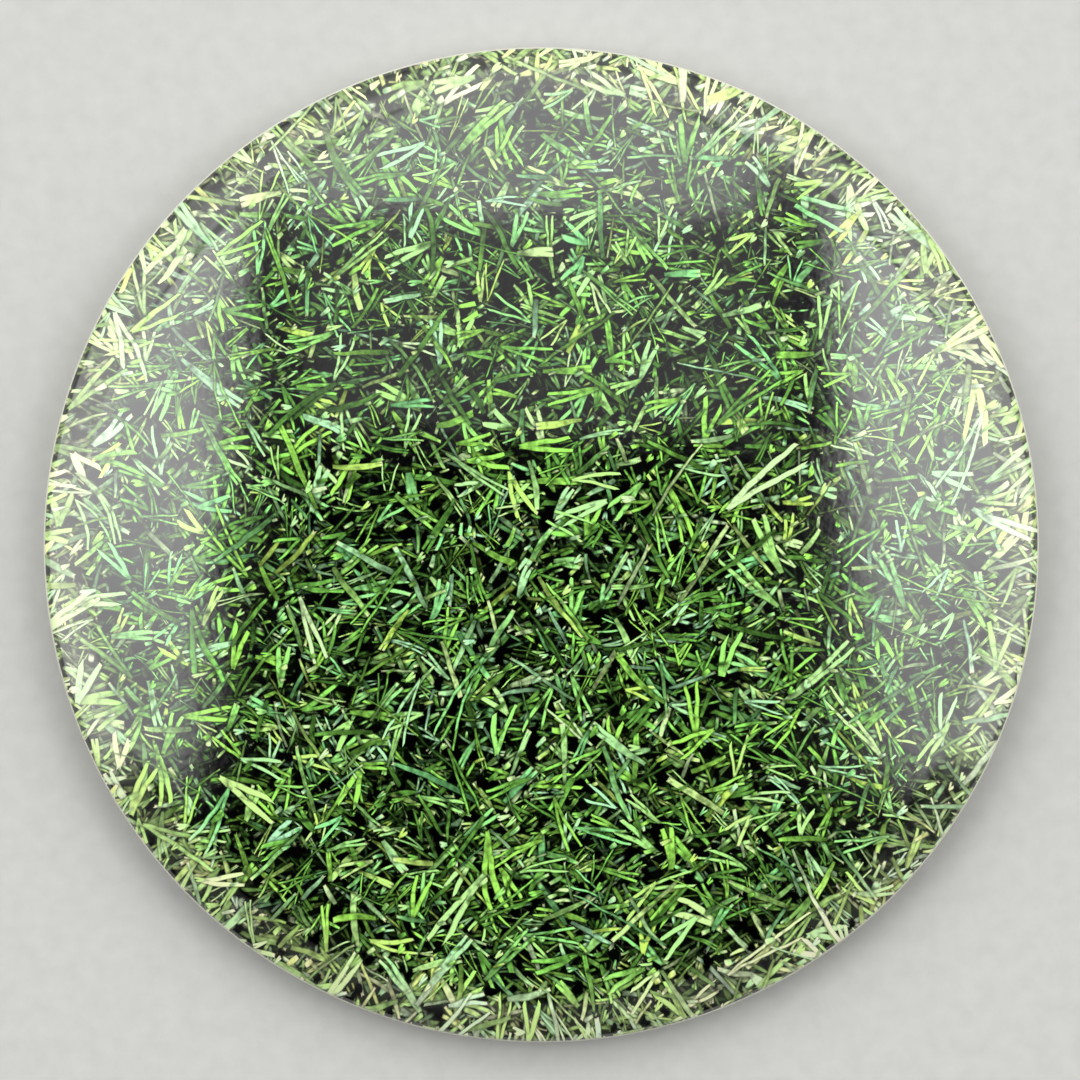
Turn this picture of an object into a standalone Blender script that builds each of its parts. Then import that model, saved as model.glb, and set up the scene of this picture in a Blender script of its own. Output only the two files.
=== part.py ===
"""Golf-type flying disc with a printed film bonded over its top.

Metres, +Z up. The disc lies flat, the right way up. The origin is on its axis, in the plane that the rim
rests on. Two pieces: disc_body, the moulded plate, shoulder and rim, and print_film, the printed skin.
"""

import math

import bmesh
import bpy

# Driving dimensions.
OUTER_RADIUS = 0.1085
HEIGHT = 0.0190
RIM_DEPTH = 0.0130  # from the rim's foot up to the underside of the plate, at the inner wall
RIM_WIDTH = 0.0120  # from the inner wall at the foot out to the nose
PLATE_THICKNESS = 0.0022

# The nose is the blunt outer edge of the rim. The shoulder is the bend where the plate rolls into the rim.
NOSE_RADIUS = 0.0036
NOSE_HEIGHT = 0.0078
SHOULDER_RADIUS = 0.0965
NOSE_TOP_ANGLE = math.radians(58)
FILM_EDGE_ANGLE = math.radians(28)  # the film wraps the nose this far down, and the rest is bare
NOSE_BOTTOM_ANGLE = math.radians(-46)

# The foot is the flat ring that the disc rests on.
FOOT_WIDTH = 0.0032
FOOT_OUTER_ROUND = 0.0014
FOOT_INNER_ROUND = 0.0009
WALL_DRAFT = math.radians(2)
WALL_FILLET = 0.0022

# The mould's gate leaves a small nub in a shallow dish, in the middle of the underside.
GATE_DISH_RADIUS = 0.0080
GATE_DISH_DEPTH = 0.0004
GATE_DISH_SLOPE = 0.0012
GATE_NUB_RADIUS = 0.0020
GATE_NUB_HEIGHT = 0.0006
GATE_NUB_TAPER = 0.0004

FILM_THICKNESS = 0.00025
FILM_GAP = 0.00005

SEGMENTS = 96
DOME_STEPS = 5
SHOULDER_STEPS = 6
WRAP_STEPS = 2  # from the top of the nose down to the film's edge
NOSE_STEPS = 3  # from the film's edge to the nose's outermost point
LOWER_NOSE_STEPS = 4
ROUND_STEPS = 3
UNDERSIDE_STEPS = 4
SHARP_ANGLE = math.radians(30)

# How far a curve's pull points reach, as shares of its chord and of the way to its corner.
SHOULDER_REACH = 0.42
TURN_REACH = 0.6

BODY_COLOUR = (0.79, 0.79, 0.68, 1.0)
BODY_ROUGHNESS = 0.38
PRINT_COLOUR = (0.12, 0.24, 0.05, 1.0)
PRINT_ROUGHNESS = 0.14

WALL_FOOT_RADIUS = OUTER_RADIUS - RIM_WIDTH
DOME_DROP = HEIGHT - PLATE_THICKNESS - RIM_DEPTH
NOSE_CENTRE = (OUTER_RADIUS - NOSE_RADIUS, NOSE_HEIGHT)


def clear_scene():
    for existing in list(bpy.data.objects):
        bpy.data.objects.remove(existing)


def dome_height(radius):
    """Height of the plate's top, a parabola from the centre to the shoulder."""
    return HEIGHT - DOME_DROP * (radius / WALL_FOOT_RADIUS) ** 2


def dome_slope(radius):
    return -2 * DOME_DROP * radius / WALL_FOOT_RADIUS**2


def bezier(start, start_pull, end_pull, end, steps):
    """Points after the start of a cubic curve, up to and including its end."""
    points = []
    for step in range(1, steps + 1):
        t = step / steps
        weights = ((1 - t) ** 3, 3 * t * (1 - t) ** 2, 3 * t * t * (1 - t), t**3)
        corners = (start, start_pull, end_pull, end)
        points.append(tuple(sum(w * corner[i] for w, corner in zip(weights, corners)) for i in (0, 1)))
    return points


def rounded(start, corner, end, steps):
    """A smooth turn from start to end, tangent to the two lines that meet in the corner."""
    first = tuple(a + TURN_REACH * (b - a) for a, b in zip(start, corner))
    second = tuple(a + TURN_REACH * (b - a) for a, b in zip(end, corner))
    return bezier(start, first, second, end, steps)


def towards(start, end, distance):
    """The point at a distance from the start, on the line to the end."""
    share = distance / math.dist(start, end)
    return tuple(a + share * (b - a) for a, b in zip(start, end))


def nose_point(angle):
    return (
        NOSE_CENTRE[0] + NOSE_RADIUS * math.cos(angle),
        NOSE_CENTRE[1] + NOSE_RADIUS * math.sin(angle),
    )


def nose_arc(start, end, steps):
    return [nose_point(start + (end - start) * step / steps) for step in range(1, steps + 1)]


def top_contour():
    """The disc's top from the centre to the film's edge, as (radius, height) points."""
    spread = [SHOULDER_RADIUS * step / DOME_STEPS for step in range(DOME_STEPS + 1)]
    dome = [(radius, dome_height(radius)) for radius in spread]
    start = dome[-1]
    end = nose_point(NOSE_TOP_ANGLE)
    reach = SHOULDER_REACH * math.dist(start, end)
    slope = math.atan(dome_slope(SHOULDER_RADIUS))
    start_pull = (start[0] + reach * math.cos(slope), start[1] + reach * math.sin(slope))
    end_pull = (end[0] - reach * math.sin(NOSE_TOP_ANGLE), end[1] + reach * math.cos(NOSE_TOP_ANGLE))
    shoulder = bezier(start, start_pull, end_pull, end, SHOULDER_STEPS)
    return dome + shoulder + nose_arc(NOSE_TOP_ANGLE, FILM_EDGE_ANGLE, WRAP_STEPS)


def sunk(contour, depth):
    """The contour moved into the disc by a depth, square to itself, with its first point kept on the axis."""
    moved = []
    last = len(contour) - 1
    for index in range(len(contour)):
        before = contour[max(index - 1, 0)]
        after = contour[min(index + 1, last)]
        along = (after[0] - before[0], after[1] - before[1])
        if index == 0:
            along = (1.0, 0.0)
        if index == last:
            along = (math.sin(FILM_EDGE_ANGLE), -math.cos(FILM_EDGE_ANGLE))
        length = math.hypot(*along)
        point = contour[index]
        moved.append((point[0] + depth * along[1] / length, point[1] - depth * along[0] / length))
    return moved


def rim_underside():
    """From the nose's lower end, across the foot and up the inner wall to the start of the wall's fillet."""
    start = nose_point(NOSE_BOTTOM_ANGLE)
    foot_inner_corner = (WALL_FOOT_RADIUS, 0.0)
    foot_outer_corner = (WALL_FOOT_RADIUS + FOOT_INNER_ROUND + FOOT_WIDTH + FOOT_OUTER_ROUND, 0.0)
    foot_outer = (foot_outer_corner[0] - FOOT_OUTER_ROUND, 0.0)
    foot_inner = (WALL_FOOT_RADIUS + FOOT_INNER_ROUND, 0.0)
    wall_low = (WALL_FOOT_RADIUS - FOOT_INNER_ROUND * math.tan(WALL_DRAFT), FOOT_INNER_ROUND)
    before_foot = towards(foot_outer_corner, start, FOOT_OUTER_ROUND)
    points = [before_foot]
    points += rounded(before_foot, foot_outer_corner, foot_outer, ROUND_STEPS)
    points.append(foot_inner)
    points += rounded(foot_inner, foot_inner_corner, wall_low, ROUND_STEPS)
    return points


def plate_underside(radius):
    return dome_height(radius) - PLATE_THICKNESS


def wall_and_plate():
    """The inner wall's fillet, the plate's underside, and the gate's dish and nub, in to the axis."""
    wall_top_radius = WALL_FOOT_RADIUS - RIM_DEPTH * math.tan(WALL_DRAFT)
    corner = (wall_top_radius, plate_underside(wall_top_radius))
    fillet_start = (wall_top_radius + WALL_FILLET * math.tan(WALL_DRAFT), corner[1] - WALL_FILLET)
    fillet_end_radius = wall_top_radius - WALL_FILLET
    fillet_end = (fillet_end_radius, plate_underside(fillet_end_radius))
    points = [fillet_start]
    points += rounded(fillet_start, corner, fillet_end, ROUND_STEPS + 1)
    for step in range(1, UNDERSIDE_STEPS + 1):
        radius = fillet_end_radius + (GATE_DISH_RADIUS - fillet_end_radius) * step / UNDERSIDE_STEPS
        points.append((radius, plate_underside(radius)))
    floor = plate_underside(0.0) + GATE_DISH_DEPTH
    points.append((GATE_DISH_RADIUS - GATE_DISH_SLOPE, floor))
    points.append((GATE_NUB_RADIUS, floor))
    points.append((GATE_NUB_RADIUS - GATE_NUB_TAPER, floor - GATE_NUB_HEIGHT))
    points.append((0.0, floor - GATE_NUB_HEIGHT))
    return points


def body_outline():
    """The body's whole outline. Its top is sunk by the film and the film's gap, up to the bare nose."""
    seat = sunk(top_contour(), FILM_THICKNESS + FILM_GAP)
    bare_start = FILM_EDGE_ANGLE - FILM_GAP / NOSE_RADIUS
    outline = seat + [nose_point(bare_start)]
    outline += nose_arc(bare_start, 0.0, NOSE_STEPS)
    outline += nose_arc(0.0, NOSE_BOTTOM_ANGLE, LOWER_NOSE_STEPS)
    return outline + rim_underside() + wall_and_plate()


def film_outline():
    top = top_contour()
    return top + sunk(top, FILM_THICKNESS)[::-1]


def turned(name, outline, look):
    """A closed body of revolution about Z. The outline starts and ends on the axis."""
    mesh = bpy.data.meshes.new(name)
    build = bmesh.new()
    verts = [build.verts.new((radius, 0.0, height)) for radius, height in outline]
    edges = [build.edges.new(pair) for pair in zip(verts, verts[1:])]
    bmesh.ops.spin(
        build,
        geom=verts + edges,
        cent=(0, 0, 0),
        axis=(0, 0, 1),
        angle=2 * math.pi,
        steps=SEGMENTS,
        use_merge=True,
    )
    bmesh.ops.remove_doubles(build, verts=build.verts, dist=1e-6)
    bmesh.ops.recalc_face_normals(build, faces=build.faces)
    build.to_mesh(mesh)
    build.free()
    mesh.materials.append(look)
    mesh.shade_smooth()
    mesh.set_sharp_from_angle(angle=SHARP_ANGLE)
    piece = bpy.data.objects.new(name, mesh)
    bpy.context.collection.objects.link(piece)
    return piece


def material(name, colour, roughness):
    made = bpy.data.materials.new(name)
    made.use_nodes = True
    shader = made.node_tree.nodes["Principled BSDF"]
    shader.inputs["Base Color"].default_value = colour
    shader.inputs["Roughness"].default_value = roughness
    shader.inputs["Metallic"].default_value = 0.0
    return made


clear_scene()
turned("disc_body", body_outline(), material("cream_plastic", BODY_COLOUR, BODY_ROUGHNESS))
turned("print_film", film_outline(), material("printed_film", PRINT_COLOUR, PRINT_ROUGHNESS))
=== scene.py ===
"""Looks of a golf-type flying disc: a moulded body of creamy plastic under a film printed with a grass picture.

Metres, +Z up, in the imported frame. The disc lies flat on the floor with its axis through the origin.
"""

import math
import random

import bpy
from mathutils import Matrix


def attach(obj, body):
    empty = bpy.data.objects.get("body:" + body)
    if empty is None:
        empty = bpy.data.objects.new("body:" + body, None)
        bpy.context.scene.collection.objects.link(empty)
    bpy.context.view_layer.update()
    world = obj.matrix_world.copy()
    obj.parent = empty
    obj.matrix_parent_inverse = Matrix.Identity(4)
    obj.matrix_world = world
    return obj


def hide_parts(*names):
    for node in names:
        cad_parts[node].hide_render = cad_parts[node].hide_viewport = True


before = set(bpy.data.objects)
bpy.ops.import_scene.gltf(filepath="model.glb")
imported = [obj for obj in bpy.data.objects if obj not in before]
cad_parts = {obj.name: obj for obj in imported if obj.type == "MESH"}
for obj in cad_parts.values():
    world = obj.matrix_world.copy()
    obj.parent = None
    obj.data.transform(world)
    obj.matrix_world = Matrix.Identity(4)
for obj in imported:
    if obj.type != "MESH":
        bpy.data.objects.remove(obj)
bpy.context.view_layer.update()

# The disc's dimensions, as in the CAD model.
OUTER_RADIUS = 0.1085
HEIGHT = 0.0190
RIM_DEPTH = 0.0130
RIM_WIDTH = 0.0120
PLATE_THICKNESS = 0.0022
NOSE_RADIUS = 0.0036
NOSE_HEIGHT = 0.0078
SHOULDER_RADIUS = 0.0965
NOSE_TOP_ANGLE = math.radians(58)
FILM_EDGE_ANGLE = math.radians(28)
NOSE_BOTTOM_ANGLE = math.radians(-46)
FOOT_WIDTH = 0.0032
FOOT_OUTER_ROUND = 0.0014
FOOT_INNER_ROUND = 0.0009
WALL_DRAFT = math.radians(2)
WALL_FILLET = 0.0022
GATE_DISH_RADIUS = 0.0080
GATE_DISH_DEPTH = 0.0004
GATE_DISH_SLOPE = 0.0012
GATE_NUB_RADIUS = 0.0020
GATE_NUB_HEIGHT = 0.0006
GATE_NUB_TAPER = 0.0004
FILM_THICKNESS = 0.00025
FILM_GAP = 0.00005
SHOULDER_REACH = 0.42
TURN_REACH = 0.6

WALL_FOOT_RADIUS = OUTER_RADIUS - RIM_WIDTH
DOME_DROP = HEIGHT - PLATE_THICKNESS - RIM_DEPTH
NOSE_CENTRE = (OUTER_RADIUS - NOSE_RADIUS, NOSE_HEIGHT)

# Where the two halves of the mould meet, they leave a fine groove just under the nose's outermost point.
PARTING_ANGLE = math.radians(-5)
PARTING_HALF_WIDTH = math.radians(1.6)
PARTING_DEPTH = 0.00007

SEGMENTS = 512
DOME_STEPS = 26
SHOULDER_STEPS = 20
WRAP_STEPS = 6
NOSE_STEPS = 10
LOWER_NOSE_STEPS = 12
ROUND_STEPS = 8
UNDERSIDE_STEPS = 20
SHARP_ANGLE = math.radians(30)

MM = 1000.0

# Over the shoulder the film was drawn down, which stretched its picture and paled its ink. film_look also paints a
# reflection haze over that ring.
PRINT_FLAT_RADIUS = 0.0970
PRINT_STRETCH = 0.80


def dome_height(radius):
    return HEIGHT - DOME_DROP * (radius / WALL_FOOT_RADIUS) ** 2


def dome_slope(radius):
    return -2 * DOME_DROP * radius / WALL_FOOT_RADIUS**2


def bezier(start, start_pull, end_pull, end, steps):
    """Points after the start of a cubic curve, up to and including its end."""
    points = []
    for step in range(1, steps + 1):
        t = step / steps
        weights = ((1 - t) ** 3, 3 * t * (1 - t) ** 2, 3 * t * t * (1 - t), t**3)
        corners = (start, start_pull, end_pull, end)
        points.append(tuple(sum(w * corner[i] for w, corner in zip(weights, corners)) for i in (0, 1)))
    return points


def rounded(start, corner, end, steps):
    """A smooth turn from start to end, tangent to the two lines that meet in the corner."""
    first = tuple(a + TURN_REACH * (b - a) for a, b in zip(start, corner))
    second = tuple(a + TURN_REACH * (b - a) for a, b in zip(end, corner))
    return bezier(start, first, second, end, steps)


def towards(start, end, distance):
    share = distance / math.dist(start, end)
    return tuple(a + share * (b - a) for a, b in zip(start, end))


def nose_point(angle, depth=0.0):
    reach = NOSE_RADIUS - depth
    return (NOSE_CENTRE[0] + reach * math.cos(angle), NOSE_CENTRE[1] + reach * math.sin(angle))


def nose_arc(start, end, steps):
    return [nose_point(start + (end - start) * step / steps) for step in range(1, steps + 1)]


def top_contour():
    """The disc's top from the centre to the film's edge, as (radius, height) points."""
    spread = [SHOULDER_RADIUS * step / DOME_STEPS for step in range(DOME_STEPS + 1)]
    dome = [(radius, dome_height(radius)) for radius in spread]
    start = dome[-1]
    end = nose_point(NOSE_TOP_ANGLE)
    reach = SHOULDER_REACH * math.dist(start, end)
    slope = math.atan(dome_slope(SHOULDER_RADIUS))
    start_pull = (start[0] + reach * math.cos(slope), start[1] + reach * math.sin(slope))
    end_pull = (end[0] - reach * math.sin(NOSE_TOP_ANGLE), end[1] + reach * math.cos(NOSE_TOP_ANGLE))
    shoulder = bezier(start, start_pull, end_pull, end, SHOULDER_STEPS)
    return dome + shoulder + nose_arc(NOSE_TOP_ANGLE, FILM_EDGE_ANGLE, WRAP_STEPS)


def sunk(contour, depth):
    """The contour moved into the disc by a depth, square to itself, with its first point kept on the axis."""
    moved = []
    last = len(contour) - 1
    for index, point in enumerate(contour):
        before = contour[max(index - 1, 0)]
        after = contour[min(index + 1, last)]
        along = (after[0] - before[0], after[1] - before[1])
        if index == 0:
            along = (1.0, 0.0)
        if index == last:
            along = (math.sin(FILM_EDGE_ANGLE), -math.cos(FILM_EDGE_ANGLE))
        length = math.hypot(*along)
        moved.append((point[0] + depth * along[1] / length, point[1] - depth * along[0] / length))
    return moved


def lower_nose():
    """From the nose's outermost point down to its lower end, with the parting line's groove."""
    groove_top = PARTING_ANGLE + PARTING_HALF_WIDTH
    groove_bottom = PARTING_ANGLE - PARTING_HALF_WIDTH
    points = nose_arc(0.0, groove_top, 2)
    points.append(nose_point(PARTING_ANGLE, PARTING_DEPTH))
    points.append(nose_point(groove_bottom))
    return points + nose_arc(groove_bottom, NOSE_BOTTOM_ANGLE, LOWER_NOSE_STEPS)


def rim_underside():
    """From the nose's lower end, across the foot and up to the start of the inner wall."""
    start = nose_point(NOSE_BOTTOM_ANGLE)
    foot_inner_corner = (WALL_FOOT_RADIUS, 0.0)
    foot_outer_corner = (WALL_FOOT_RADIUS + FOOT_INNER_ROUND + FOOT_WIDTH + FOOT_OUTER_ROUND, 0.0)
    foot_outer = (foot_outer_corner[0] - FOOT_OUTER_ROUND, 0.0)
    foot_inner = (WALL_FOOT_RADIUS + FOOT_INNER_ROUND, 0.0)
    wall_low = (WALL_FOOT_RADIUS - FOOT_INNER_ROUND * math.tan(WALL_DRAFT), FOOT_INNER_ROUND)
    before_foot = towards(foot_outer_corner, start, FOOT_OUTER_ROUND)
    points = [before_foot]
    points += rounded(before_foot, foot_outer_corner, foot_outer, ROUND_STEPS)
    points.append(foot_inner)
    points += rounded(foot_inner, foot_inner_corner, wall_low, ROUND_STEPS)
    return points


def plate_underside(radius):
    return dome_height(radius) - PLATE_THICKNESS


def wall_and_plate():
    """The inner wall's fillet, the plate's underside, and the gate's dish and nub, in to the axis."""
    wall_top_radius = WALL_FOOT_RADIUS - RIM_DEPTH * math.tan(WALL_DRAFT)
    corner = (wall_top_radius, plate_underside(wall_top_radius))
    fillet_start = (wall_top_radius + WALL_FILLET * math.tan(WALL_DRAFT), corner[1] - WALL_FILLET)
    fillet_end_radius = wall_top_radius - WALL_FILLET
    fillet_end = (fillet_end_radius, plate_underside(fillet_end_radius))
    points = [fillet_start]
    points += rounded(fillet_start, corner, fillet_end, ROUND_STEPS)
    for step in range(1, UNDERSIDE_STEPS + 1):
        radius = fillet_end_radius + (GATE_DISH_RADIUS - fillet_end_radius) * step / UNDERSIDE_STEPS
        points.append((radius, plate_underside(radius)))
    floor = plate_underside(0.0) + GATE_DISH_DEPTH
    dish = (GATE_DISH_RADIUS - GATE_DISH_SLOPE, floor)
    dish_pull = (GATE_DISH_RADIUS - GATE_DISH_SLOPE / 2, points[-1][1])
    points += bezier(points[-1], dish_pull, (dish_pull[0], floor), dish, ROUND_STEPS)
    nub_foot = (GATE_NUB_RADIUS, floor)
    nub_top = (GATE_NUB_RADIUS - GATE_NUB_TAPER, floor - GATE_NUB_HEIGHT)
    points += [nub_foot, nub_top, (0.0, nub_top[1])]
    return points


def body_outline():
    """The body's whole outline. Its top is sunk by the film and the film's gap, up to the bare nose."""
    seat = sunk(top_contour(), FILM_THICKNESS + FILM_GAP)
    bare_start = FILM_EDGE_ANGLE - FILM_GAP / NOSE_RADIUS
    outline = seat + [nose_point(bare_start)]
    outline += nose_arc(bare_start, 0.0, NOSE_STEPS)
    return outline + lower_nose() + rim_underside() + wall_and_plate()


def film_outline():
    top = top_contour()
    return top + sunk(top, FILM_THICKNESS)[::-1]


def turned(name, outline, look):
    """A closed, finely stepped body of revolution about Z. The outline starts and ends on the axis."""
    angles = [2 * math.pi * step / SEGMENTS for step in range(SEGMENTS)]
    verts = [(0.0, 0.0, outline[0][1])]
    for radius, height in outline[1:-1]:
        verts += [(radius * math.cos(a), radius * math.sin(a), height) for a in angles]
    verts.append((0.0, 0.0, outline[-1][1]))
    last_ring = 1 + (len(outline) - 3) * SEGMENTS
    faces = []
    for step in range(SEGMENTS):
        after = (step + 1) % SEGMENTS
        faces.append((0, 1 + step, 1 + after))
        faces.append((len(verts) - 1, last_ring + after, last_ring + step))
        for ring in range(1, last_ring, SEGMENTS):
            outer = ring + SEGMENTS
            faces.append((ring + step, outer + step, outer + after, ring + after))
    mesh = bpy.data.meshes.new(name)
    mesh.from_pydata(verts, [], faces)
    mesh.materials.append(look)
    mesh.shade_smooth()
    mesh.set_sharp_from_angle(angle=SHARP_ANGLE)
    piece = bpy.data.objects.new(name, mesh)
    bpy.context.scene.collection.objects.link(piece)
    return piece


def print_radius(radius):
    """How far from the middle of the flat picture a point of the film was, before it was drawn down."""
    return min(radius, PRINT_FLAT_RADIUS) + PRINT_STRETCH * max(radius - PRINT_FLAT_RADIUS, 0.0)


def lay_print(film):
    """The film's own map: the place of each point in the flat picture, in millimetres."""
    flat = film.data.uv_layers.new(name="print_flat")
    for loop, place in zip(film.data.loops, flat.data):
        x, y, _ = film.data.vertices[loop.vertex_index].co
        radius = math.hypot(x, y)
        share = MM * print_radius(radius) / radius if radius else 0.0
        place.uv = (x * share, y * share)


class Graph:
    """Short names for adding nodes to one node tree."""

    def __init__(self, tree):
        self.tree = tree

    def feed(self, socket, value):
        if isinstance(value, bpy.types.NodeSocket):
            self.tree.links.new(value, socket)
        elif value is not None:
            socket.default_value = value

    def node(self, kind, *values, **settings):
        made = self.tree.nodes.new("ShaderNode" + kind)
        for name, value in settings.items():
            setattr(made, name, value)
        for socket, value in zip(made.inputs, values):
            self.feed(socket, value)
        return made

    def math(self, operation, *values, clamp=False):
        return self.node("Math", *values, operation=operation, use_clamp=clamp).outputs[0]

    def vec(self, operation, *values):
        return self.node("VectorMath", *values, operation=operation).outputs["Vector"]

    def dot(self, a, b):
        return self.node("VectorMath", a, b, operation="DOT_PRODUCT").outputs["Value"]

    def scale(self, vector, factor):
        made = self.node("VectorMath", vector, operation="SCALE")
        self.feed(made.inputs["Scale"], factor)
        return made.outputs["Vector"]

    def split(self, vector):
        return tuple(self.node("SeparateXYZ", vector).outputs)

    def join(self, x, y, z):
        return self.node("CombineXYZ", x, y, z).outputs[0]

    def mix(self, factor, a, b):
        made = self.node("Mix", data_type="RGBA")
        self.feed(made.inputs[0], factor)
        self.feed(made.inputs[6], a)
        self.feed(made.inputs[7], b)
        return made.outputs[2]

    def ramp(self, factor, stops):
        made = self.node("ValToRGB", factor)
        points = made.color_ramp.elements
        for position, _ in stops[2:]:
            points.new(position)
        for point, (position, colour) in zip(points, stops):
            point.position = position
            point.color = (*colour, 1.0)
        return made.outputs["Color"]

    def noise(self, place, scale, detail=0.0, output="Fac", flat=False):
        made = self.node("TexNoise", noise_dimensions="2D" if flat else "3D")
        self.feed(made.inputs["Vector"], place)
        made.inputs["Scale"].default_value = scale
        made.inputs["Detail"].default_value = detail
        return made.outputs[output]

    def between(self, value, low, high, to_low=0.0, to_high=1.0):
        """Runs smoothly from to_low to to_high as the value goes from low to high."""
        made = self.node("MapRange", value, low, high, to_low, to_high, interpolation_type="SMOOTHSTEP")
        return made.outputs[0]


def new_material(name):
    made = bpy.data.materials.new(name)
    made.use_nodes = True
    shader = made.node_tree.nodes["Principled BSDF"]
    return made, Graph(made.node_tree), shader


# Greens of the printed blades, from the commonest to the palest.
BLADE_COLOURS = (
    (0.00, (0.043, 0.120, 0.020)),
    (0.22, (0.092, 0.240, 0.038)),
    (0.42, (0.183, 0.390, 0.055)),
    (0.56, (0.110, 0.320, 0.115)),
    (0.70, (0.256, 0.470, 0.120)),
    (0.82, (0.240, 0.460, 0.270)),
    (0.92, (0.330, 0.500, 0.080)),
    (1.00, (0.370, 0.510, 0.270)),
)
CUT_COLOUR = (0.56, 0.62, 0.34, 1.0)
SOIL_COLOUR = (0.0006, 0.0012, 0.0005, 1.0)
SHADE_COLOUR = (0.0004, 0.0010, 0.0004, 1.0)
# Far below the print's detail: it only makes each layer wait for the one below it.
WAIT = (1e-6, 1e-6, 0.0)


def blade_layer_group():
    """One layer of scattered grass blades over what lies below, in the picture's millimetres.

    The layer is a grid of cells with at most one blade in each, turned and slipped so that no rows show.
    """
    tree = bpy.data.node_groups.new("blade_layer", "ShaderNodeTree")
    vectors = ("Place", "Along", "Across", "Cell", "Half cell", "Loose low", "Loose spread", "Size low", "Size spread")
    floats = ("Seed", "Presence", "Light low", "Light spread", "Tip", "Shade", "Fork")
    for kind, names in (("Color", ("Below",)), ("Vector", vectors), ("Float", floats)):
        for name in names:
            tree.interface.new_socket(name, in_out="INPUT", socket_type="NodeSocket" + kind)
    tree.interface.new_socket("Color", in_out="OUTPUT", socket_type="NodeSocketColor")
    g = Graph(tree)
    given = tree.nodes.new("NodeGroupInput").outputs
    result = tree.nodes.new("NodeGroupOutput").inputs

    place = g.vec("MULTIPLY_ADD", given["Below"], WAIT, given["Place"])
    grid = g.join(g.dot(place, given["Along"]), g.dot(place, given["Across"]), given["Seed"])
    row_of = g.vec("MULTIPLY", g.vec("FLOOR", grid), (0.0, 1.0, 1.0))
    row = g.node("TexWhiteNoise", row_of, noise_dimensions="3D").outputs
    grid = g.vec("MULTIPLY_ADD", row["Color"], (9.0, 0.0, 0.0), grid)
    cell = g.vec("FLOOR", grid)
    local = g.vec("MULTIPLY_ADD", g.vec("SUBTRACT", grid, cell), given["Cell"], given["Half cell"])
    local_x, local_y, local_z = g.split(local)

    first = g.node("TexWhiteNoise", cell, noise_dimensions="3D").outputs
    other_cell = g.vec("ADD", cell, (0.31, 0.47, 0.73))
    second = g.node("TexWhiteNoise", other_cell, noise_dimensions="3D").outputs
    loose = g.vec("MULTIPLY_ADD", first["Color"], given["Loose spread"], given["Loose low"])
    tilt, bend, shift = g.split(loose)
    size = g.vec("MULTIPLY_ADD", second["Color"], given["Size spread"], given["Size low"])
    tone, half_length, half_width = g.split(size)

    flip = g.math("SIGN", g.math("SUBTRACT", row["Value"], 0.5))
    x = g.math("MULTIPLY_ADD", local_x, flip, local_z)
    y = g.math("MULTIPLY_ADD", x, g.math("MULTIPLY_ADD", x, bend, tilt), g.math("ADD", local_y, shift))
    share = g.math("MULTIPLY_ADD", g.math("DIVIDE", x, half_length), 0.5, 0.5, clamp=True)
    forked = g.math("MULTIPLY_ADD", first["Value"], 1.7, -0.7, clamp=True)
    fork = g.math("MULTIPLY", g.math("MULTIPLY", forked, given["Fork"]), share)
    y = g.math("SUBTRACT", g.math("ABSOLUTE", y), fork)
    from_middle = g.math("SUBTRACT", share, 0.42)
    narrowing = g.math("MULTIPLY_ADD", g.math("MULTIPLY", from_middle, from_middle), -1.2, 1.0)
    half_width = g.math("MULTIPLY", half_width, narrowing)
    slanted = g.math("MULTIPLY_ADD", g.math("MULTIPLY", y, tilt), 2.0, x)
    from_side = g.math("SUBTRACT", half_width, g.math("ABSOLUTE", y))
    from_end = g.math("SUBTRACT", half_length, g.math("ABSOLUTE", slanted))
    inward = g.math("MINIMUM", from_side, from_end)
    absent = g.math("GREATER_THAN", second["Value"], given["Presence"])
    inward = g.math("MULTIPLY_ADD", absent, -100.0, inward)
    mask = g.math("MULTIPLY_ADD", inward, 4.0, 0.5, clamp=True)
    shadow = g.math("MULTIPLY", g.math("MULTIPLY_ADD", inward, 1.3, 1.0, clamp=True), given["Shade"])

    lit = g.math("MULTIPLY", first["Value"], first["Value"])
    light = g.math("MULTIPLY_ADD", lit, given["Light spread"], given["Light low"])
    light = g.math("MULTIPLY", light, g.math("MULTIPLY_ADD", y, 0.28, 1.0))
    light = g.math("MULTIPLY", light, g.math("MULTIPLY_ADD", g.math("MULTIPLY", share, share), 1.0, 0.38))
    light = g.math("MULTIPLY", light, g.math("MULTIPLY_ADD", inward, 1.6, 0.62, clamp=True))
    blade = g.scale(g.ramp(tone, BLADE_COLOURS), light)
    tip = g.math("MULTIPLY", g.math("MULTIPLY_ADD", tone, 3.2, -1.1, clamp=True), given["Tip"])
    to_end = g.math("SUBTRACT", half_length, slanted)
    cut = g.math("MULTIPLY", g.math("MULTIPLY_ADD", to_end, -1.2, 1.1, clamp=True), tip)
    blade = g.mix(cut, blade, CUT_COLOUR)
    dimmed = g.mix(shadow, given["Below"], SHADE_COLOUR)
    g.feed(result["Color"], g.mix(mask, dimmed, blade))
    return tree


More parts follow.
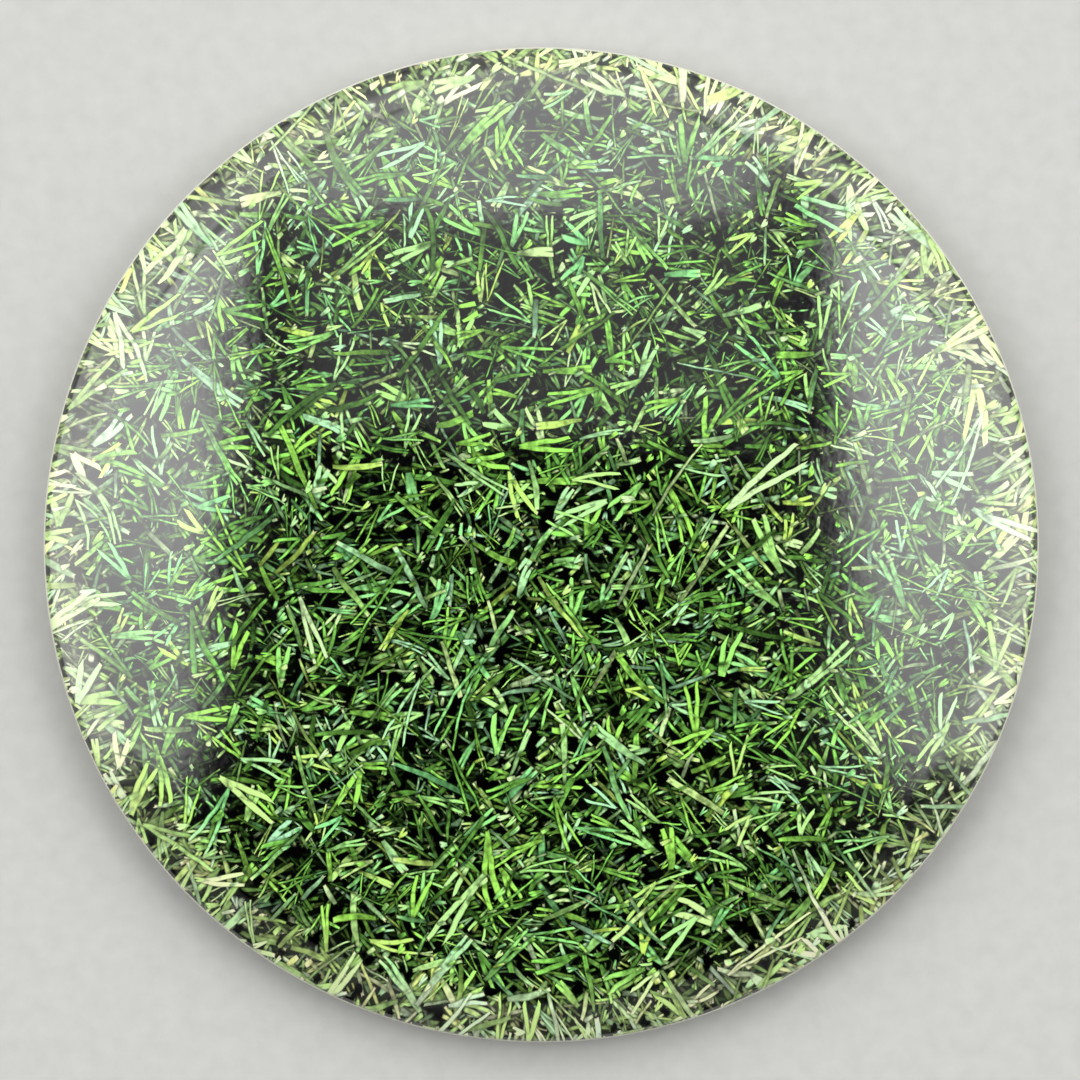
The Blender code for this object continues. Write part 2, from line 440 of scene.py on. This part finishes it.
# Kinds of blade, in millimetres. half_length is a share of the cell's length. light and the sizes run from low
# to high at random.
BLADE_KINDS = {
    "deep": dict(
        cell=(16, 3.4), half_width=(0.22, 0.50), half_length=(0.26, 0.47), presence=0.80,
        light=(0.06, 0.45), tip=0.0, shade=0.45, tilt=0.6, bend=0.020, fork=1.0,
    ),
    "low": dict(
        cell=(14, 4.0), half_width=(0.14, 0.48), half_length=(0.24, 0.47), presence=0.62,
        light=(0.12, 1.10), tip=0.3, shade=0.75, tilt=0.7, bend=0.030, fork=1.6,
    ),
    "mid": dict(
        cell=(13, 4.6), half_width=(0.14, 0.52), half_length=(0.22, 0.47), presence=0.58,
        light=(0.46, 3.60), tip=0.8, shade=0.80, tilt=0.7, bend=0.030, fork=2.0,
    ),
    "top": dict(
        cell=(14, 6.0), half_width=(0.15, 0.68), half_length=(0.22, 0.47), presence=0.46,
        light=(0.90, 5.00), tip=0.9, shade=0.80, tilt=0.7, bend=0.022, fork=2.6,
    ),
    "long": dict(
        cell=(24, 8.5), half_width=(0.26, 0.72), half_length=(0.30, 0.47), presence=0.22,
        light=(1.05, 3.80), tip=0.9, shade=0.85, tilt=0.6, bend=0.012, fork=3.0,
    ),
    "chip": dict(
        cell=(4.4, 2.5), half_width=(0.22, 0.50), half_length=(0.16, 0.34), presence=0.26,
        light=(1.10, 3.80), tip=0.7, shade=0.70, tilt=0.8, bend=0.000, fork=0.6,
    ),
    "straw": dict(
        cell=(30, 14), half_width=(0.14, 0.22), half_length=(0.30, 0.46), presence=0.20,
        light=(1.50, 2.00), tip=1.0, shade=0.60, tilt=0.4, bend=0.010, fork=0.0,
    ),
}
# The layers from the bottom up. Each "gaps" darkens what is below it between the tufts.
LAYERS = ["deep"] * 2 + ["low"] * 4 + ["gaps"] + ["mid"] * 3 + ["gaps", "chip"] + ["mid"] * 3 + ["gaps"]
LAYERS += ["top"] * 6 + ["long"] * 3 + ["chip", "straw"]
# The whole picture is shrunk by this.
BLADES_FINER = 1.14
GOLDEN_ANGLE = math.pi * (3 - math.sqrt(5))


def add_blades(g, colour, place, group, name, index, rng):
    kind = BLADE_KINDS[name]
    turn = (index * GOLDEN_ANGLE + rng.uniform(-0.25, 0.25)) % (2 * math.pi)
    cell_x, cell_y = kind["cell"]
    shortest, longest = (share * cell_x for share in kind["half_length"])
    thinnest, widest = kind["half_width"]
    dimmest, brightest = kind["light"]
    tilt, bend, shift = kind["tilt"], kind["bend"], 0.3 * cell_y
    layer = g.tree.nodes.new("ShaderNodeGroup")
    layer.node_tree = group
    settings = {
        "Below": colour,
        "Place": place,
        "Along": (math.cos(turn) / cell_x, math.sin(turn) / cell_x, 0.0),
        "Across": (-math.sin(turn) / cell_y, math.cos(turn) / cell_y, 0.0),
        "Cell": (cell_x, cell_y, 0.0),
        "Half cell": (-cell_x / 2, -cell_y / 2, 0.0),
        "Seed": 3.0 + index,
        "Loose low": (-tilt / 2, -bend / 2, -shift / 2),
        "Loose spread": (tilt, bend, shift),
        "Size low": (0.0, shortest, thinnest),
        "Size spread": (1 / kind["presence"], longest - shortest, widest - thinnest),
        "Presence": kind["presence"],
        "Light low": dimmest,
        "Light spread": brightest - dimmest,
        "Tip": kind["tip"],
        "Shade": kind["shade"],
        "Fork": kind["fork"],
    }
    for socket, value in settings.items():
        g.feed(layer.inputs[socket], value)
    return layer.outputs[0]


BRIGHTEST_INK = 0.80
# The most the outer ring's colour may be, after the painted reflection haze has brightened it.
BRIGHTEST_FADED_AND_HAZED = 0.86


def capped(g, colour, most):
    """The colour, dimmed where its strongest part is over the most that it may be. It keeps its hue."""
    red, green, blue = g.split(colour)
    strongest = g.math("MAXIMUM", g.math("MAXIMUM", red, green), blue)
    return g.scale(colour, g.math("DIVIDE", most, g.math("MAXIMUM", strongest, most)))


def grass_picture(g, flat):
    """The printed picture: layers of grass blades seen from above, from the dark floor up to the lit tips."""
    group = blade_layer_group()
    rng = random.Random(7)
    flat = g.vec("MULTIPLY", flat, (BLADES_FINER, BLADES_FINER, 0.0))
    ragged = g.vec("MULTIPLY_ADD", g.noise(flat, 0.25, 0.0, "Color", flat=True), (0.5, 0.5, 0.0), flat)
    bent = []
    for offset, scale in (((5.0, 9.0, 0.0), 0.022), ((42.0, 70.0, 0.0), 0.032)):
        sweep = g.noise(g.vec("ADD", ragged, offset), scale, 0.0, "Color", flat=True)
        bent.append(g.vec("MULTIPLY_ADD", sweep, (8.0, 8.0, 0.0), ragged))
    clumps = g.noise(flat, 0.26, 1.0, flat=True)
    tufts = g.math("MULTIPLY_ADD", clumps, 6.5, -2.15, clamp=True)
    colour = SOIL_COLOUR
    for index, name in enumerate(LAYERS):
        if name == "gaps":
            colour = g.scale(colour, tufts)
        else:
            colour = add_blades(g, colour, bent[index % 2], group, name, index, rng)
    mottle = g.noise(g.vec("MULTIPLY_ADD", colour, WAIT, flat), 0.55, 2.0, flat=True)
    colour = g.scale(colour, g.math("MULTIPLY_ADD", mottle, 2.3, -0.13))
    return capped(g, colour, BRIGHTEST_INK)


FILM_WHITE = (0.72, 0.74, 0.62, 1.0)
# Warm tint of the painted reflection haze over the outer ring.
PAINTED_HAZE_TINT = (1.20, 1.03, 1.02, 1.0)


def film_look():
    """Glossy laminated film. Its print pales over the outer ring, partly where the film was drawn down and partly as a
    painted reflection haze, warmer and brighter towards the edge. It stops in a thin white line.
    """
    made, g, shader = new_material("grass_print")
    flat = g.node("UVMap", uv_map="print_flat").outputs[0]
    spot = g.node("TexCoord").outputs["Object"]
    picture = grass_picture(g, flat)
    from_axis = g.node("VectorMath", g.vec("MULTIPLY", spot, (MM, MM, 0.0)), operation="LENGTH").outputs["Value"]
    # Over the outer ring the print is paled. This is partly the ink thinned where the film was drawn down and partly
    # painted reflection haze.
    fade_and_painted_haze = g.between(from_axis, 90.0, 104.0)
    colour = g.node("Gamma", picture, g.math("MULTIPLY_ADD", fade_and_painted_haze, -0.43, 1.0)).outputs[0]
    colour = g.vec("MULTIPLY", colour, g.mix(fade_and_painted_haze, (1.0, 1.0, 1.0, 1.0), PAINTED_HAZE_TINT))
    # Painted reflection haze: the ring is brightened towards the edge.
    colour = g.scale(colour, g.between(from_axis, 102.0, 106.0, 1.0, 1.25))
    colour = capped(g, colour, BRIGHTEST_FADED_AND_HAZED)
    bare = g.between(from_axis, 108.02, 108.07)
    colour = g.mix(bare, colour, FILM_WHITE)
    g.feed(shader.inputs["Base Color"], colour)

    smears = g.noise(spot, 22.0, 4.0)
    hairlines = g.noise(g.vec("MULTIPLY", spot, (1.0, 9.0, 1.0)), 160.0, 3.0)
    roughness = g.math("ADD", g.between(smears, 0.35, 0.75, 0.065, 0.100), g.between(hairlines, 0.62, 0.80, 0.0, 0.04))
    g.feed(shader.inputs["Roughness"], roughness)
    peel = g.noise(spot, 520.0, 1.0)
    waves = g.noise(spot, 34.0, 1.0)
    bump = g.node("Bump")
    bump.inputs["Strength"].default_value = 1.0
    bump.inputs["Distance"].default_value = 0.00001
    g.feed(bump.inputs["Height"], g.math("MULTIPLY_ADD", waves, 14.0, peel))
    g.feed(shader.inputs["Normal"], bump.outputs["Normal"])
    # Above the film's own 1.6, because it stands for the reflections of the film's two faces together.
    shader.inputs["IOR"].default_value = 1.92
    return made


def body_look():
    """Cream polyurethane, slightly cloudy, with the mould's fine grain and turning marks."""
    made, g, shader = new_material("cream_plastic")
    spot = g.node("TexCoord").outputs["Object"]
    flow = g.noise(spot, 26.0, 3.0)
    specks = g.noise(spot, 900.0, 2.0)
    cream = g.ramp(flow, ((0.30, (0.60, 0.59, 0.48)), (0.72, (0.67, 0.67, 0.57))))
    colour = g.mix(g.between(specks, 0.66, 0.78, 0.0, 0.35), cream, (0.52, 0.50, 0.38, 1.0))
    g.feed(shader.inputs["Base Color"], colour)
    g.feed(shader.inputs["Roughness"], g.between(g.noise(spot, 70.0, 4.0), 0.3, 0.7, 0.30, 0.46))

    from_axis = g.node("VectorMath", g.vec("MULTIPLY", spot, (MM, MM, 0.0)), operation="LENGTH").outputs["Value"]
    turning = g.math("SINE", g.math("MULTIPLY", from_axis, 14.0))
    grain = g.noise(spot, 1700.0, 2.0)
    bump = g.node("Bump")
    bump.inputs["Strength"].default_value = 1.0
    bump.inputs["Distance"].default_value = 0.00001
    g.feed(bump.inputs["Height"], g.math("MULTIPLY_ADD", turning, 0.12, grain))
    g.feed(shader.inputs["Normal"], bump.outputs["Normal"])
    shader.inputs["IOR"].default_value = 1.50
    shader.inputs["Subsurface Weight"].default_value = 0.25
    shader.inputs["Subsurface Radius"].default_value = (0.9, 0.9, 0.6)
    shader.inputs["Subsurface Scale"].default_value = 0.0025
    return made


def floor_look():
    made, g, shader = new_material("pale_floor")
    spot = g.node("TexCoord").outputs["Object"]
    grain = g.noise(spot, 240.0, 4.0)
    colour = g.ramp(grain, ((0.25, (0.44, 0.44, 0.43)), (0.75, (0.49, 0.49, 0.48))))
    g.feed(shader.inputs["Base Color"], colour)
    g.feed(shader.inputs["Roughness"], g.between(grain, 0.2, 0.8, 0.75, 0.9))
    return made


def make_floor():
    size = 6.0
    corners = [(-size, -size, 0.0), (size, -size, 0.0), (size, size, 0.0), (-size, size, 0.0)]
    mesh = bpy.data.meshes.new("floor")
    mesh.from_pydata(corners, [], [(0, 1, 2, 3)])
    mesh.materials.append(floor_look())
    floor = bpy.data.objects.new("floor", mesh)
    bpy.context.scene.collection.objects.link(floor)


BACKDROP = (0.80, 0.80, 0.79, 1.0)
TENT_BACK = 2.0
TENT_SIDES = 0.7  # more than at the back
TENT_FRONT = 0.16
TENT_TOP = 0.004
TENT_LOW = 0.25  # share of the glow left near the horizon
TENT_POSTS = 0.25  # share of the glow lost at the corners, where the back meets the sides
TENT_SIDE_DROP = 0.10  # how much further down the glow reaches at the sides


def make_world():
    """A soft light tent round the back and sides of the disc, open overhead and towards the front."""
    world = bpy.data.worlds.new("studio")
    world.use_nodes = True
    g = Graph(world.node_tree)
    direction = g.node("TexCoord").outputs["Generated"]
    _, _, up = g.split(direction)
    side, back, _ = g.split(g.vec("NORMALIZE", g.vec("MULTIPLY", direction, (1.0, 1.0, 0.0))))
    lit = g.math("MULTIPLY_ADD", g.math("MULTIPLY", side, side), TENT_SIDES, TENT_BACK)
    around = g.math("MULTIPLY_ADD", g.between(back, -0.52, -0.38), lit, TENT_FRONT)
    lifted = g.math("MULTIPLY_ADD", g.math("MULTIPLY", side, side), TENT_SIDE_DROP, up)
    upper = g.math("MULTIPLY", g.between(up, 0.79, 0.86, 1.0, 0.0), g.between(lifted, 0.28, 0.46, TENT_LOW, 1.0))
    post = g.math("MULTIPLY", g.math("MULTIPLY", side, back), g.math("MULTIPLY", side, back))
    upper = g.math("MULTIPLY", upper, g.math("MULTIPLY_ADD", post, -4 * TENT_POSTS, 1.0))
    tent = g.math("MULTIPLY_ADD", around, upper, TENT_TOP)
    seen = g.node("LightPath").outputs["Is Camera Ray"]
    colour = g.mix(seen, g.scale((1.0, 1.0, 0.98), tent), BACKDROP)
    g.feed(world.node_tree.nodes["Background"].inputs["Color"], colour)
    bpy.context.scene.world = world


# The diffuser overhead glows in soft-edged patches: their corners in metres, anticlockwise, the width of their
# edges, and their radiance. Past DIFFUSER_RIM from the axis the tent takes over.
DIFFUSER_HEIGHT = 1.0
DIFFUSER_X = (-0.90, 0.90)
DIFFUSER_Y = (-0.50, 0.90)
DIFFUSER_RIM = (0.69, 0.88)
PATCHES = (
    (((-0.265, -0.170), (-0.222, 0.275), (-0.95, 0.275), (-0.95, -0.480)), 0.022, 3.15),
    (((0.255, -0.170), (0.95, -0.480), (0.95, 0.275), (0.218, 0.275)), 0.022, 3.15),
    (((-0.195, 0.252), (0.175, 0.252), (0.175, 0.95), (-0.195, 0.95)), 0.016, 2.05),
    (((-0.182, 0.088), (0.172, 0.078), (0.178, 0.252), (-0.195, 0.252)), 0.014, 0.42),
    (((-0.95, 0.275), (-0.195, 0.275), (-0.195, 0.95), (-0.95, 0.95)), 0.020, 1.15),
    (((0.175, 0.275), (0.95, 0.275), (0.95, 0.95), (0.175, 0.95)), 0.020, 1.00),
    (((-0.95, 0.31), (-0.50, 0.31), (-0.32, 0.58), (-0.21, 0.95), (-0.95, 0.95)), 0.050, 1.05),
    (((0.50, 0.31), (0.95, 0.31), (0.95, 0.95), (0.21, 0.95), (0.32, 0.58)), 0.050, 1.15),
)
# Towards the front the patches dim, to this share.
FRONT_SHARE = 0.60
FRONT_Y = (-0.110, 0.040)


def patch(g, place, corners, soft):
    """1 inside a convex shape and 0 outside it, with soft edges."""
    inside = 1.0
    for (x0, y0), (x1, y1) in zip(corners, corners[1:] + corners[:1]):
        length = math.hypot(x1 - x0, y1 - y0)
        inward = ((y0 - y1) / length, (x1 - x0) / length, 0.0)
        depth = g.math("SUBTRACT", g.dot(place, inward), x0 * inward[0] + y0 * inward[1])
        inside = g.math("MULTIPLY", inside, g.between(depth, -soft, soft))
    return inside


def make_diffuser():
    light = bpy.data.lights.new("diffuser", "AREA")
    light.shape = "RECTANGLE"
    light.size = DIFFUSER_X[1] - DIFFUSER_X[0]
    light.size_y = DIFFUSER_Y[1] - DIFFUSER_Y[0]
    light.energy = math.pi * light.size * light.size_y
    light.use_nodes = True
    g = Graph(light.node_tree)
    place = g.vec("MULTIPLY", g.node("NewGeometry").outputs["Position"], (1.0, 1.0, 0.0))
    glow = 0.0
    for corners, soft, radiance in PATCHES:
        glow = g.math("MULTIPLY_ADD", patch(g, place, corners, soft), radiance, glow)
    from_front = g.dot(place, (0.0, 1.0, 0.0))
    dimmed = g.node("MapRange", from_front, *FRONT_Y, FRONT_SHARE, 1.0).outputs[0]
    from_axis = g.node("VectorMath", place, operation="LENGTH").outputs["Value"]
    dimmed = g.math("MULTIPLY", dimmed, g.between(from_axis, *DIFFUSER_RIM, 1.0, 0.0))
    g.feed(light.node_tree.nodes["Emission"].inputs["Strength"], g.math("MULTIPLY", glow, dimmed))
    seat = bpy.data.objects.new("diffuser", light)
    seat.location = (sum(DIFFUSER_X) / 2, sum(DIFFUSER_Y) / 2, DIFFUSER_HEIGHT)
    seat.visible_camera = False
    bpy.context.scene.collection.objects.link(seat)


def make_camera():
    """Straight above the disc, with +Y up the picture."""
    camera = bpy.data.cameras.new("camera")
    camera.sensor_width = 36.0
    camera.lens = 168.0
    camera.clip_start = 0.01
    camera.clip_end = 50.0
    seat = bpy.data.objects.new("camera", camera)
    seat.location = (-0.00028, 0.00105, 1.1068)
    bpy.context.scene.collection.objects.link(seat)
    bpy.context.scene.camera = seat


make_floor()
make_world()
make_diffuser()
make_camera()
bpy.context.scene.view_settings.view_transform = "Standard"

body = turned("body", body_outline(), body_look())
film = turned("film", film_outline(), film_look())
lay_print(film)
for piece, node, slot in ((body, "disc_body", "body_plastic"), (film, "print_film", "printed_film")):
    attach(piece, "root")
    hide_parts(node)
